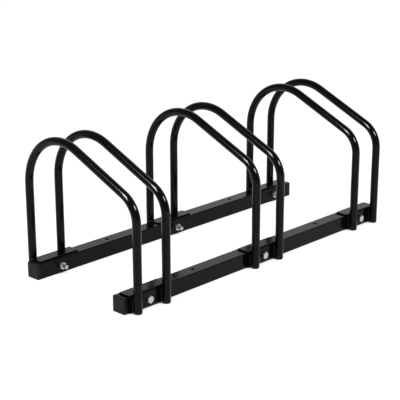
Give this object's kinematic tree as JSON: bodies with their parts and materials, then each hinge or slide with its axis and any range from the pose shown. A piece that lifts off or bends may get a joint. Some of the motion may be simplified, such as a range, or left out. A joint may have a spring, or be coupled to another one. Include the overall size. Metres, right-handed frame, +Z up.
{
  "type": "bike rack",
  "caption": "Low floor bike rack: bent-tube wheel hoops in pairs, welded to angle brackets and bolted to square-tube base rails with ground anchor holes.",
  "frame": {"origin": "on the ground at the middle of the rack, midway between front and rear legs", "axes": "+X along the rails to the right end, +Y from the low front legs to the tall rear legs, +Z up"},
  "size_m": [0.734, 0.308, 0.2831],
  "materials": {
    "hoop_paint": "gloss black powder coat on steel tube",
    "rail_paint": "gloss black powder coat on steel tube",
    "bracket_paint": "gloss black powder coat on steel sheet",
    "cap_plastic": "satin black moulded plastic",
    "plug_plastic": "satin black moulded plastic",
    "zinc_bolts": "bright zinc plating",
    "zinc_nuts": "bright zinc plating"
  },
  "bodies": {
    "root": {"hoop_1_left": "hoop_paint", "hoop_1_right": "hoop_paint", "hoop_2_left": "hoop_paint", "hoop_2_right": "hoop_paint", "hoop_3_left": "hoop_paint", "hoop_3_right": "hoop_paint", "front_bracket_1": "bracket_paint", "front_bracket_2": "bracket_paint", "front_bracket_3": "bracket_paint", "rear_bracket_1": "bracket_paint", "rear_bracket_2": "bracket_paint", "rear_bracket_3": "bracket_paint", "front_rail": "rail_paint", "rear_rail": "rail_paint", "front_left_end_cap": "cap_plastic", "front_right_end_cap": "cap_plastic", "rear_left_end_cap": "cap_plastic", "rear_right_end_cap": "cap_plastic", "front_leg_plug_1_left": "plug_plastic", "front_leg_plug_1_right": "plug_plastic", "front_leg_plug_2_left": "plug_plastic", "front_leg_plug_2_right": "plug_plastic", "front_leg_plug_3_left": "plug_plastic", "front_leg_plug_3_right": "plug_plastic", "rear_leg_plug_1_left": "plug_plastic", "rear_leg_plug_1_right": "plug_plastic", "rear_leg_plug_2_left": "plug_plastic", "rear_leg_plug_2_right": "plug_plastic", "rear_leg_plug_3_left": "plug_plastic", "rear_leg_plug_3_right": "plug_plastic", "bracket_bolts": "zinc_bolts", "bracket_nuts": "zinc_nuts"}
  },
  "joints": []
}
